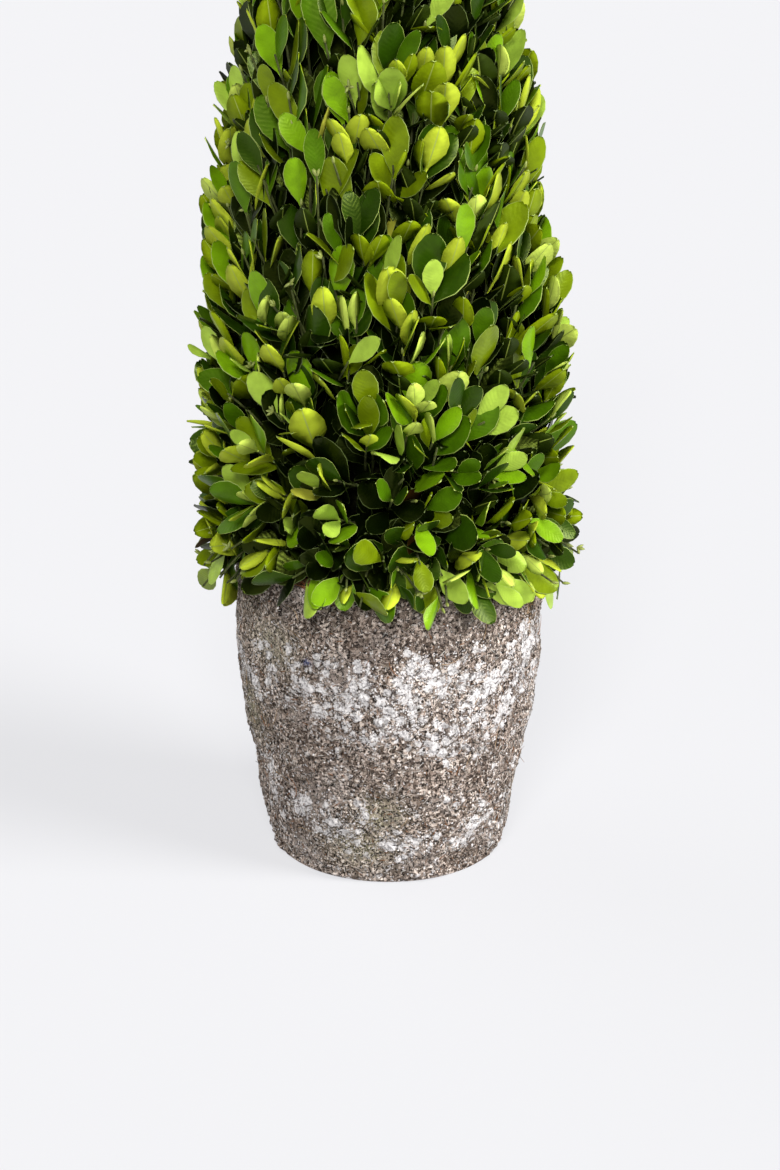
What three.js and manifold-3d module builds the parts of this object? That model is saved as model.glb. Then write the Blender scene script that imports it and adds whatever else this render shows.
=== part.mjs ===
// Boxwood cone topiary in a weathered, fibrous pot. Millimetres, +Z up.
// The origin is the middle of the pot's flat underside, and -Y is the front.
//
// A pot holds a plug of packed fibre. A short stem stands on the plug and carries the clipped
// cone, which is built as three stacked tiers. Each tier is a core with sprigs that stand out
// of it, and the two lower cores are bored for the stem. A sprig is one three-sided twig with
// crossed pairs of leaves. The leaves are fewer and larger than on the living plant.

import * as THREE from "three";
import { mergeVertices } from "three/addons/utils/BufferGeometryUtils.js";
import Module from "manifold-3d";

// Driving dimensions
const TOTAL_HEIGHT = 610;
const POT_HEIGHT = 132;
const POT_WIDEST_RADIUS = 63.2;
const POT_WIDEST_HEIGHT = 96;
const POT_FOOT_RADIUS = 48;
const POT_FOOT_ROUND = 2.5;
const POT_RIM_RADIUS = 62.2;
const POT_SWELL_POWER = 1.42;
const POT_WALL = 6;
const POT_FLOOR = 7;
const POT_RIM_ROUND = 2.2;
const FILL_BELOW_RIM = 8;
const FILL_SIDE_GAP = 1.2;
const CLEARANCE = 0.3;

const CROWN_WIDEST_RADIUS = 83;
const CROWN_WIDEST_HEIGHT = 150;
const CROWN_TIP_RADIUS = 13;
const CROWN_TAPER_POWER = 1.55;
const CROWN_LOWEST = 106;
const CROWN_TUCK = 8;
const CROWN_OFFSET = -1.5;
const CROWN_LEAN = -0.012;

const LEAF_DEPTH = 23;
const CORE_NECK_RADIUS = 52;
const CORE_SHOULDER = 14;
const CORE_TOP = 578;
const CORE_TIP_RADIUS = 4;
const TIER_HEIGHTS = [225, 340];

const STEM_FOOT_RADIUS = 7.5;
const STEM_FLARE = 2.5;
const STEM_TIP_RADIUS = 4.5;
const STEM_TOP = 265;

const SEED = 41;
const SPRIG_COUNT = 118;
const LEAF_LENGTH = 38;
const LEAF_WIDTH = 24;
const LEAF_THICKNESS = 1.4;
const LEAF_DROOP = 1.6;
const TWIG_RADIUS = 1.8;
const TWIG_SUNK = 4;
const RIM_SPRIG_WEIGHT = 30;
const TIP_SPRIG_WEIGHT = 14;
const ROOT_BELOW_GAP = 3;
const ROOT_ABOVE_GAP = 6;
const PAIRS_PER_SPRIG = 2;
const PAIR_OPENINGS = [60, 32];
const TRIES_PER_LEAF = 5;
const SPACE_MARGIN = 1.2;

const GOLDEN_ANGLE = Math.PI * (3 - Math.sqrt(5));
const POT_SIDES = 40;
const CORE_SIDES = 20;
const STEM_SIDES = 10;

const FILL_TOP = POT_HEIGHT - FILL_BELOW_RIM;
const CORE_BOTTOM = FILL_TOP + CLEARANCE;
const SHOULDER_TOP = POT_HEIGHT + CORE_SHOULDER;

const wasm = await Module();
wasm.setup();

// Helpers for numbers
const lerp = (a, b, t) => a + (b - a) * t;
const clamp01 = (t) => Math.min(1, Math.max(0, t));

// A repeatable number from 0 to 1 for sprig k and one of its traits.
function chance(k, trait) {
  const wave = Math.sin((k + SEED) * 12.9898 + trait * 78.233) * 43758.5453;
  return wave - Math.floor(wave);
}

// Between -1 and 1.
const sway = (k, trait) => 2 * chance(k, trait) - 1;

// Solids from closed geometries, and back again
function solidFrom(geometry) {
  const bare = geometry.index ? geometry.toNonIndexed() : geometry.clone();
  bare.deleteAttribute("normal");
  bare.deleteAttribute("uv");
  const merged = mergeVertices(bare, 1e-4);
  const vertProperties = merged.attributes.position.array;
  const triVerts = new Uint32Array(merged.index.array);
  return new wasm.Manifold(new wasm.Mesh({ numProp: 3, vertProperties, triVerts }));
}

function geometryFrom(solid) {
  const mesh = solid.getMesh();
  const geometry = new THREE.BufferGeometry();
  geometry.setAttribute("position", new THREE.BufferAttribute(mesh.vertProperties, 3));
  geometry.setIndex(new THREE.BufferAttribute(mesh.triVerts, 1));
  geometry.computeVertexNormals();
  return geometry;
}

// The largest body alone: a sealed hollow is filled and a loose scrap is dropped.
function mainBody(solid) {
  return solid.decompose().reduce((best, body) => (body.volume() > best.volume() ? body : best));
}

// A lathe turned about +Z from [radius, height] pairs.
function turned(profile, sides) {
  const points = profile.map(([radius, height]) => new THREE.Vector2(radius, height));
  return new THREE.LatheGeometry(points, sides).rotateX(Math.PI / 2);
}

// The pot's outer wall: it swells from the foot to the shoulder and draws in a little to the rim.
function potRadius(z) {
  if (z > POT_WIDEST_HEIGHT) {
    const above = (z - POT_WIDEST_HEIGHT) / (POT_HEIGHT - POT_WIDEST_HEIGHT);
    return POT_WIDEST_RADIUS - (POT_WIDEST_RADIUS - POT_RIM_RADIUS) * above * above;
  }
  const below = (POT_WIDEST_HEIGHT - z) / (POT_WIDEST_HEIGHT - POT_FOOT_ROUND);
  return POT_WIDEST_RADIUS - (POT_WIDEST_RADIUS - POT_FOOT_RADIUS) * Math.pow(below, POT_SWELL_POWER);
}

function roundedEdge(centreRadius, centreHeight, round, from, to, steps) {
  return Array.from({ length: steps + 1 }, (_, i) => {
    const angle = lerp(from, to, i / steps);
    return [centreRadius + round * Math.cos(angle), centreHeight + round * Math.sin(angle)];
  });
}

function potSolid() {
  const foot = roundedEdge(POT_FOOT_RADIUS - POT_FOOT_ROUND, POT_FOOT_ROUND, POT_FOOT_ROUND,
    -Math.PI / 2, 0, 3);
  const wallSteps = 7;
  const wallTop = POT_HEIGHT - POT_RIM_ROUND;
  const outside = Array.from({ length: wallSteps }, (_, i) => {
    const z = lerp(POT_FOOT_ROUND, wallTop, (i + 1) / wallSteps);
    return [potRadius(z), z];
  });
  const rim = roundedEdge(POT_RIM_RADIUS - POT_RIM_ROUND, wallTop, POT_RIM_ROUND, 0, Math.PI / 2, 2);
  const rimInner = [POT_RIM_RADIUS - POT_WALL, POT_HEIGHT];
  const insideSteps = 4;
  const inside = Array.from({ length: insideSteps }, (_, i) => {
    const z = lerp(POT_HEIGHT - 3, POT_FLOOR, (i + 1) / insideSteps);
    return [potRadius(Math.max(z, POT_FOOT_ROUND)) - POT_WALL, z];
  });
  const profile = [[0, 0], ...foot, ...outside, ...rim.slice(1), rimInner, ...inside, [0, POT_FLOOR]];
  return turned(profile, POT_SIDES);
}

// The fibre plug fills the pot to a little below the rim and stays clear of the wall.
function fillSolid() {
  const low = POT_FLOOR + CLEARANCE;
  const steps = 4;
  const side = Array.from({ length: steps + 1 }, (_, i) => {
    const z = lerp(low, FILL_TOP - 2, i / steps);
    return [potRadius(Math.max(z, POT_FOOT_ROUND)) - POT_WALL - FILL_SIDE_GAP, z];
  });
  const top = [[POT_RIM_RADIUS - POT_WALL - 6, FILL_TOP], [0, FILL_TOP]];
  return turned([[0, low], ...side, ...top], POT_SIDES);
}

// The crown stands a little off the pot's axis and leans on a little, along X.
const axisX = (z) => CROWN_OFFSET + CROWN_LEAN * Math.max(0, z - POT_HEIGHT);

function leaned(geometry) {
  const position = geometry.attributes.position;
  for (let i = 0; i < position.count; i += 1) {
    position.setX(i, position.getX(i) + axisX(position.getZ(i)));
  }
  return geometry;
}

// The clipped outline that the leaf tips reach, about the crown's axis.
function crownRadius(z) {
  if (z < CROWN_WIDEST_HEIGHT) {
    const below = (CROWN_WIDEST_HEIGHT - z) / (CROWN_WIDEST_HEIGHT - CROWN_LOWEST);
    return CROWN_WIDEST_RADIUS - CROWN_TUCK * below * below;
  }
  const above = (z - CROWN_WIDEST_HEIGHT) / (TOTAL_HEIGHT - CROWN_WIDEST_HEIGHT);
  return lerp(CROWN_TIP_RADIUS, CROWN_WIDEST_RADIUS, 1 - Math.pow(clamp01(above), CROWN_TAPER_POWER));
}

// The core that the sprigs stand in: a neck inside the rim, a shoulder that swells out over the
// rim, and then the clipped outline less the depth of the leaves.
function coreRadius(z) {
  const full = Math.max(CORE_TIP_RADIUS, crownRadius(Math.max(z, SHOULDER_TOP)) - LEAF_DEPTH);
  const rise = clamp01((z - POT_HEIGHT - 2) / (CORE_SHOULDER - 2));
  return lerp(CORE_NECK_RADIUS, full, Math.sin((rise * Math.PI) / 2));
}

// How steeply the sprigs rise, in radians: they droop over the rim and stand up at the tip.
function sprigRise(z) {
  const stops = [[137, -30], [150, 0], [166, 26], [195, 48], [300, 56], [460, 64], [570, 80]];
  const upper = stops.findIndex(([height]) => height > z);
  if (upper === 0) return THREE.MathUtils.degToRad(stops[0][1]);
  if (upper < 0) return THREE.MathUtils.degToRad(stops[stops.length - 1][1]);
  const [lowHeight, lowRise] = stops[upper - 1];
  const [highHeight, highRise] = stops[upper];
  return THREE.MathUtils.degToRad(lerp(lowRise, highRise, (z - lowHeight) / (highHeight - lowHeight)));
}

// Two tiers meet on a funnel that starts at the core and rises as the sprigs there do.
function funnelHeight(z0, radius) {
  return z0 + Math.max(0, radius - coreRadius(z0)) * Math.tan(sprigRise(z0));
}

// Points keep to a tier's space: between its funnels, within the clipped outline and off the pot.
function fitsSpace(tier, points) {
  return points.every((p) => {
    const radius = Math.hypot(p.x - axisX(p.z), p.y);
    const aboveLow = tier.low === null || p.z > funnelHeight(tier.low, radius) + SPACE_MARGIN;
    const belowHigh = tier.high === null || p.z < funnelHeight(tier.high, radius) - SPACE_MARGIN;
    const inOutline = p.z > CROWN_LOWEST && p.z < TOTAL_HEIGHT && radius < crownRadius(p.z) + 2;
    const offPot = p.z > POT_HEIGHT + 1 || Math.hypot(p.x, p.y) > POT_WIDEST_RADIUS + 2;
    return aboveLow && belowHigh && inOutline && offPot;
  });
}

// A closed geometry from its corners and its triangles.
function facesOf(corners, faces) {
  const positions = faces.flat().flatMap((i) => corners[i].toArray());
  const geometry = new THREE.BufferGeometry();
  geometry.setAttribute("position", new THREE.Float32BufferAttribute(positions, 3));
  return geometry;
}

// A leaf blade along +X with its upper face towards +Z. Its outline has five points, widest past
// the middle and blunt at the tip, bends down to the tip, and is drawn up to a ridge above.
function leafGeometry(length, width) {
  const outline = [
    [0, 0, 0],
    [0.56 * length, -width / 2, -0.3 * LEAF_DROOP],
    [length, -0.2 * width, -LEAF_DROOP],
    [length, 0.2 * width, -LEAF_DROOP],
    [0.56 * length, width / 2, -0.3 * LEAF_DROOP],
  ];
  const ridge = [0.58 * length, 0, LEAF_THICKNESS];
  const corners = [...outline, ridge].map((p) => new THREE.Vector3(...p));
  const upper = [[0, 1, 5], [1, 2, 5], [2, 3, 5], [3, 4, 5], [4, 0, 5]];
  const lower = [[0, 4, 1], [1, 4, 3], [1, 3, 2]];
  return facesOf(corners, [...upper, ...lower]);
}

// A three-sided twig that tapers from its root to its tip.
function twigGeometry(root, direction, length) {
  const turn = new THREE.Quaternion().setFromUnitVectors(new THREE.Vector3(0, 0, 1), direction);
  const ring = (radius, height) => [0, 1, 2].map((i) => {
    const angle = (i * 2 * Math.PI) / 3;
    return new THREE.Vector3(radius * Math.cos(angle), radius * Math.sin(angle), height);
  });
  const corners = [...ring(TWIG_RADIUS, 0), ...ring(0.5 * TWIG_RADIUS, length)];
  corners.forEach((p) => p.applyQuaternion(turn).add(root));
  const sides = [[0, 1, 4], [0, 4, 3], [1, 2, 5], [1, 5, 4], [2, 0, 3], [2, 3, 5]];
  return facesOf(corners, [...sides, [0, 2, 1], [3, 4, 5]]);
}

// A leaf set on a twig: it leaves the twig at an angle, its upper face towards the twig's tip.
function placedLeaf(root, along, side, spread, length, width) {
  const direction = along.clone().multiplyScalar(Math.cos(spread));
  direction.addScaledVector(side, Math.sin(spread));
  const normal = along.clone().multiplyScalar(Math.sin(spread));
  normal.addScaledVector(side, -Math.cos(spread));
  const across = new THREE.Vector3().crossVectors(normal, direction);
  const frame = new THREE.Matrix4().makeBasis(direction, across, normal).setPosition(root);
  return leafGeometry(length, width).applyMatrix4(frame);
}

// The corners of a geometry's triangles and the middles of their edges.
function samplesOf(geometry) {
  const { position } = geometry.attributes;
  const corner = (_, i) => new THREE.Vector3().fromBufferAttribute(position, i);
  const corners = Array.from({ length: position.count }, corner);
  const edgeEnd = (i) => (i % 3 === 2 ? i - 2 : i + 1);
  const middles = corners.map((p, i) => p.clone().lerp(corners[edgeEnd(i)], 0.5));
  return [...corners, ...middles];
}

// How far a straight line from the root runs before it reaches the clipped outline.
function reachFrom(root, direction) {
  let reach = 12;
  while (reach < 70) {
    const p = root.clone().addScaledVector(direction, reach);
    const radius = Math.hypot(p.x - axisX(p.z), p.y);
    if (radius > crownRadius(p.z)) break;
    reach += 0.5;
  }
  return reach;
}

// The sprigs' roots are spread up the core so that each has about the same area of it, with
// some more at the tip, and round the rim where they hide the shoulder.
function rootHeight(share) {
  const steps = 400;
  const low = POT_HEIGHT + 5;
  const rimWeight = (z) => (z < SHOULDER_TOP ? RIM_SPRIG_WEIGHT : 0);
  const weight = (z) => coreRadius(z) + TIP_SPRIG_WEIGHT + rimWeight(z);
  const slices = Array.from({ length: steps }, (_, i) => lerp(low, CORE_TOP - 6, (i + 0.5) / steps));
  const total = slices.reduce((sum, z) => sum + weight(z), 0);
  let sum = 0;
  return slices.find((z) => {
    sum += weight(z);
    return sum >= share * total;
  });
}

// A root is moved off the gap between two tiers, so that its sunk end stays in its own core.
function offTheGaps(z) {
  const near = TIER_HEIGHTS.find((height) => z > height - ROOT_BELOW_GAP && z < height + ROOT_ABOVE_GAP);
  if (near === undefined) return z;
  return z < near ? near - ROOT_BELOW_GAP : near + ROOT_ABOVE_GAP;
}

// One sprig's root, direction and reach. Successive sprigs turn by the golden angle.
function sprigAt(k) {
  const z = offTheGaps(rootHeight((k + 0.5 + 0.25 * sway(k, 1)) / SPRIG_COUNT));
  const azimuth = k * GOLDEN_ANGLE + 0.16 * sway(k, 2);
  const rise = sprigRise(z) + 0.14 * sway(k, 3);
  const outward = new THREE.Vector3(Math.cos(azimuth), Math.sin(azimuth), 0);
  const root = outward.clone().multiplyScalar(coreRadius(z)).setZ(z);
  root.x += axisX(z);
  const direction = outward.clone().multiplyScalar(Math.cos(rise)).setZ(Math.sin(rise));
  const reach = reachFrom(root, direction) * (1 - 0.06 * chance(k, 4));
  return { k, root, direction, reach };
}

// The sprig that makes the tip of the cone.
function tipSprig() {
  const root = new THREE.Vector3(axisX(CORE_TOP), 0, CORE_TOP);
  const direction = new THREE.Vector3(0, 0, 1);
  return { k: SPRIG_COUNT, root, direction, reach: TOTAL_HEIGHT - CORE_TOP };
}

// A leaf touches another where its outer part, past its own root, runs into it.
function touchesAny(leaf, others) {
  const near = others.filter((other) => other.centre.distanceTo(leaf.centre) < LEAF_LENGTH);
  return near.some((other) => leaf.outer.intersect(other.solid).volume() > 0.01);
}

function middleOf(points) {
  const sum = points.reduce((total, p) => total.add(p), new THREE.Vector3());
  return sum.divideScalar(points.length);
}

// One leaf of a sprig at a given try: each try turns it on about the twig and shortens it a little.
function leafAt(sprig, leafLength, pair, sideIndex, attempt) {
  const { k, root, direction, reach } = sprig;
  const trait = 10 + pair * 2 + sideIndex;
  const level = new THREE.Vector3(0, 0, 1).cross(direction);
  if (level.length() < 0.1) level.set(1, 0, 0);
  const twigLength = reach - 0.85 * leafLength;
  const node = root.clone().addScaledVector(direction, (twigLength * (pair + 1)) / PAIRS_PER_SPRIG - 1);
  const turn = Math.PI * (chance(k, 5) + sideIndex + pair / 2) + 0.3 * sway(k, trait) + 0.4 * attempt;
  const side = level.normalize().applyAxisAngle(direction, turn);
  const opening = THREE.MathUtils.degToRad(PAIR_OPENINGS[pair]);
  const spread = opening * (1 + 0.15 * sway(k, trait + 20) - 0.1 * attempt);
  const length = leafLength * (1 - 0.12 * chance(k, trait + 40) - 0.05 * attempt);
  const width = (length * LEAF_WIDTH) / LEAF_LENGTH;
  const blade = placedLeaf(node, direction, side, spread, length, width);
  const samples = samplesOf(blade);
  const centre = middleOf(samples);
  const past = node.clone().lerp(centre, 0.45);
  const outer = solidFrom(placedLeaf(past, direction, side, spread, 0.72 * length, 0.9 * width));
  return { samples, centre, solid: solidFrom(blade), outer };
}

// A twig and those of its leaves that fit the tier's space and touch no leaf set before them.
function growSprig(sprig, tier, leaves) {
  const { root, direction, reach } = sprig;
  const leafLength = Math.min(LEAF_LENGTH, 0.9 * reach);
  const start = root.clone().addScaledVector(direction, -TWIG_SUNK);
  const twig = twigGeometry(start, direction, TWIG_SUNK + reach - 0.85 * leafLength);
  const bare = samplesOf(twig).filter((p) => p.distanceTo(start) > 2 * TWIG_SUNK);
  if (!fitsSpace(tier, bare)) return null;
  const tries = Array.from({ length: TRIES_PER_LEAF }, (_, attempt) => attempt);
  for (let pair = PAIRS_PER_SPRIG - 1; pair >= 0; pair -= 1) {
    for (const sideIndex of [0, 1]) {
      const fits = ({ samples }) => fitsSpace(tier, samples);
      const options = tries.map((attempt) => leafAt(sprig, leafLength, pair, sideIndex, attempt));
      const leaf = options.find((option) => fits(option) && !touchesAny(option, leaves));
      if (leaf) leaves.push(leaf);
    }
  }
  return solidFrom(twig);
}

// The part of the core that belongs to one tier, with flat ends clear of its neighbours.
function coreSolid(low, high) {
  const neck = low < POT_HEIGHT ? [low, POT_HEIGHT + 2, lerp(POT_HEIGHT, SHOULDER_TOP, 0.4)] : [];
  const start = low < POT_HEIGHT ? SHOULDER_TOP : low;
  const steps = Math.max(2, Math.round((high - start) / 45));
  const even = Array.from({ length: steps + 1 }, (_, i) => lerp(start, high, i / steps));
  const side = [...neck, ...even].map((z) => [coreRadius(z), z]);
  return solidFrom(leaned(turned([[0, low], ...side, [0, high]], CORE_SIDES)));
}

// The stem, from its flat foot on the fibre to its tip inside the second tier. The bore for it
// is the same shape grown by the clearance.
function stemGeometry(grow) {
  const steps = 6;
  const side = Array.from({ length: steps + 1 }, (_, i) => {
    const t = i / steps;
    const flare = STEM_FLARE * Math.pow(1 - t, 6);
    const radius = lerp(STEM_FOOT_RADIUS, STEM_TIP_RADIUS, t) + flare + grow;
    return [radius, lerp(CORE_BOTTOM, STEM_TOP, t)];
  });
  const low = CORE_BOTTOM - grow;
  const high = STEM_TOP + grow;
  const profile = [[0, low], [side[0][0], low], ...side.slice(1, steps), [side[steps][0], high], [0, high]];
  return leaned(turned(profile, STEM_SIDES));
}

// A tier of the crown: its core with its sprigs fused on, bored for the stem.
function tierSolid(tier) {
  const leaves = [];
  const twigs = tier.sprigs.map((sprig) => growSprig(sprig, tier, leaves)).filter((twig) => twig);
  const parts = [...twigs, ...leaves.map(({ solid }) => solid)];
  const whole = parts.reduce((sum, part) => sum.add(part), coreSolid(tier.coreLow, tier.coreHigh));
  return mainBody(whole.subtract(solidFrom(stemGeometry(CLEARANCE))));
}

// The tiers from the lowest up, each with the sprigs whose roots lie on its core.
function tiersOf(sprigs) {
  const names = ["foliage_lower_tier", "foliage_middle_tier", "foliage_top_tier"];
  return names.map((name, i) => {
    const low = i > 0 ? TIER_HEIGHTS[i - 1] : null;
    const high = i < TIER_HEIGHTS.length ? TIER_HEIGHTS[i] : null;
    const coreLow = low === null ? CORE_BOTTOM : low + CLEARANCE / 2;
    const coreHigh = high === null ? CORE_TOP : high - CLEARANCE / 2;
    const own = sprigs.filter(({ root }) => root.z > coreLow && root.z <= coreHigh);
    return { name, low, high, coreLow, coreHigh, sprigs: own };
  });
}

const topiary = new THREE.Group();
topiary.name = "boxwood_cone_topiary";

function addPart(name, geometry, color, roughness) {
  const finish = new THREE.MeshStandardMaterial({ color, roughness, metalness: 0, flatShading: true });
  const mesh = new THREE.Mesh(geometry, finish);
  mesh.name = name;
  topiary.add(mesh);
}

addPart("pot", potSolid(), 0x94887d, 0.95);
addPart("fibre_fill", fillSolid(), 0x4d3a26, 1);
addPart("stem", stemGeometry(0), 0x6b5a42, 0.9);

const sprigs = Array.from({ length: SPRIG_COUNT }, (_, k) => sprigAt(k));
for (const tier of tiersOf([...sprigs, tipSprig()])) {
  addPart(tier.name, geometryFrom(tierSolid(tier)), 0x4f6b22, 0.55);
}

export default topiary;
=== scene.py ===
# boxwood cone in a weathered fibre pot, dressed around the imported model
from math import ceil, cos, pi, radians, sin, sqrt
import bpy
import numpy as np
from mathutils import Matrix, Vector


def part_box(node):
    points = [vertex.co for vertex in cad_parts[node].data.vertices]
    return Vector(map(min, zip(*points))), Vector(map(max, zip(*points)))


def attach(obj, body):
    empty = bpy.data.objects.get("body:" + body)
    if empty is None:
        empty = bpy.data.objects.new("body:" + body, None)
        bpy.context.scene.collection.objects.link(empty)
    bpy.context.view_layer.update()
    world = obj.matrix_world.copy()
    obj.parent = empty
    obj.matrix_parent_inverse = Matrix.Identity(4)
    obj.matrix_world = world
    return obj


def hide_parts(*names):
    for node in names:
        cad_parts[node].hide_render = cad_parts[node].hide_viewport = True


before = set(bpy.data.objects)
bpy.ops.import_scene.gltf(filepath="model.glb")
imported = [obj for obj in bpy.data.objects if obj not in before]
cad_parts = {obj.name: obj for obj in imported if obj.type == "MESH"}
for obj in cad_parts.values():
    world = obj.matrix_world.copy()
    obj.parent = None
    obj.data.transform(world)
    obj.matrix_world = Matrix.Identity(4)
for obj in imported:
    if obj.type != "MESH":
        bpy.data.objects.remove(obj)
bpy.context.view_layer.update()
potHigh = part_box("pot")[1]
potTop = potHigh[2]
print("frame loaded")

# directions and smooth fields; lengths are in metres unless a note says otherwise
upward = np.array([0, 0, 1.0])


def unit(v):
    return v / np.linalg.norm(v, axis=-1, keepdims=True)


def polar(radius, angle, z=0.0):
    # (r cos a, r sin a, z)
    return np.stack(np.broadcast_arrays(radius * np.cos(angle), radius * np.sin(angle), z), -1)


def swung(first, second, angle):
    # first cos a + second sin a
    return first * np.cos(angle)[..., None] + second * np.sin(angle)[..., None]


def fromMiddle(points):
    # distance from the pot's own axis
    return np.hypot(points[..., 0], points[..., 1])


def smoothStep(low, high, value):
    t = np.clip((value - low) / (high - low), 0, 1)
    return t * t * (3 - 2 * t)


def waves(points, size, seed, count=48):
    # sum of plane waves of about one length, in random directions and phases, scaled to unit spread
    rng = np.random.default_rng(seed)
    way = unit(rng.normal(size=(count, 3)))
    pace = 2 * pi / size * rng.uniform(0.65, 1.4, count)
    phase = rng.uniform(0, 2 * pi, count)
    total = np.zeros(points.shape[:-1])
    for i in range(count):
        total += np.cos(points @ way[i] * pace[i] + phase[i])
    return total * sqrt(2 / count)


# meshes
def added(name, data):
    thing = bpy.data.objects.new(name, data)
    bpy.context.scene.collection.objects.link(thing)
    return thing


def meshFrom(name, points, faceSets, finishes, slots=None, attributes=None):
    # faceSets is a list of (faces, corners) index arrays; slots is one finish index per face
    loops = np.concatenate([f.ravel() for f in faceSets]).astype(np.int32)
    sizes = np.concatenate([np.full(len(f), f.shape[1]) for f in faceSets]).astype(np.int32)
    starts = (np.cumsum(sizes) - sizes).astype(np.int32)
    mesh = bpy.data.meshes.new(name)
    mesh.vertices.add(len(points))
    mesh.vertices.foreach_set("co", np.asarray(points, np.float32).ravel())
    mesh.loops.add(len(loops))
    mesh.loops.foreach_set("vertex_index", loops)
    mesh.polygons.add(len(sizes))
    mesh.polygons.foreach_set("loop_start", starts)
    mesh.polygons.foreach_set("use_smooth", np.ones(len(sizes), bool))
    for finish in finishes:
        mesh.materials.append(finish)
    if slots is not None:
        mesh.polygons.foreach_set("material_index", np.asarray(slots, np.int32))
    for key, values in (attributes or {}).items():
        layer = mesh.attributes.new(key, "FLOAT", "POINT")
        layer.data.foreach_set("value", np.asarray(values, np.float32))
    mesh.update(calc_edges=True)
    mesh.validate()
    return added(name, mesh)


def place(piece, slot, *nodes):
    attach(piece, "root")
    if nodes:
        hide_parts(*nodes)
    print(piece.name, "made,", len(piece.data.polygons), "faces")


def turned(radii, heights, sides):
    # a profile carried round +Z: (r cos a, r sin a, z); each end is a single point on the axis
    angles = np.arange(sides) * 2 * pi / sides
    ring = polar(radii[1:-1, None], angles, heights[1:-1, None])
    rows = len(radii) - 2
    points = np.concatenate([[[0, 0, heights[0]]], ring.reshape(-1, 3), [[0, 0, heights[-1]]]])
    here = 1 + np.arange(rows * sides).reshape(rows, sides)
    there = np.roll(here, -1, 1)
    quads = np.stack([here[:-1], there[:-1], there[1:], here[1:]], -1).reshape(-1, 4)
    last = rows * sides + 1
    lowFan = np.stack([np.zeros(sides, int), there[0], here[0]], -1)
    highFan = np.stack([np.full(sides, last), here[-1], there[-1]], -1)
    return points, [quads, lowFan, highFan]


def turnedRod(radii, z, sides):
    # the same for a rod, which a flat disc closes at each end
    return turned(np.concatenate([[0], radii, [0]]), np.concatenate([z[:1], z, z[-1:]]), sides)


def tubes(paths, radii, sides):
    # a round section carried along each path: centre + r (u cos a + w sin a), with a flat face at each end
    step = np.gradient(paths, axis=1)
    step /= np.linalg.norm(step, axis=2)[..., None] + 1e-12
    spare = np.where(np.abs(step[:, :1, 2:]) < 0.9, upward, [1.0, 0, 0])
    u = unit(np.cross(np.broadcast_to(spare, step.shape), step))
    w = np.cross(step, u)
    angles = np.arange(sides) * 2 * pi / sides
    ring = swung(u[:, :, None], w[:, :, None], angles)
    points = paths[:, :, None] + radii[:, :, None, None] * ring
    count, stations = radii.shape
    here = np.arange(count * stations * sides).reshape(count, stations, sides)
    there = np.roll(here, -1, 2)
    quads = np.stack([here[:, :-1], there[:, :-1], there[:, 1:], here[:, 1:]], -1).reshape(-1, 4)
    return points.reshape(-1, 3), [quads, here[:, 0, ::-1], here[:, -1]]


# shader maths: an expression on sockets adds its Math nodes
class Wire:
    def __init__(self, finish, socket):
        self.finish, self.socket = finish, socket

    def maths(self, operation, *values):
        return self.finish.add("ShaderNodeMath", dict(operation=operation), dict(enumerate(values)))

    def __add__(self, other):
        return self.maths("ADD", self, other)

    __radd__ = __add__

    def __sub__(self, other):
        return self.maths("SUBTRACT", self, other)

    def __rsub__(self, other):
        return self.maths("SUBTRACT", other, self)

    def __mul__(self, other):
        return self.maths("MULTIPLY", self, other)

    __rmul__ = __mul__

    def size(self):
        return self.maths("ABSOLUTE", self)

    def sine(self):
        return self.maths("SINE", self)

    def above(self, low, high):
        return self.finish.add(
            "ShaderNodeMapRange", dict(interpolation_type="SMOOTHSTEP"), {0: self, 1: low, 2: high})


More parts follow.
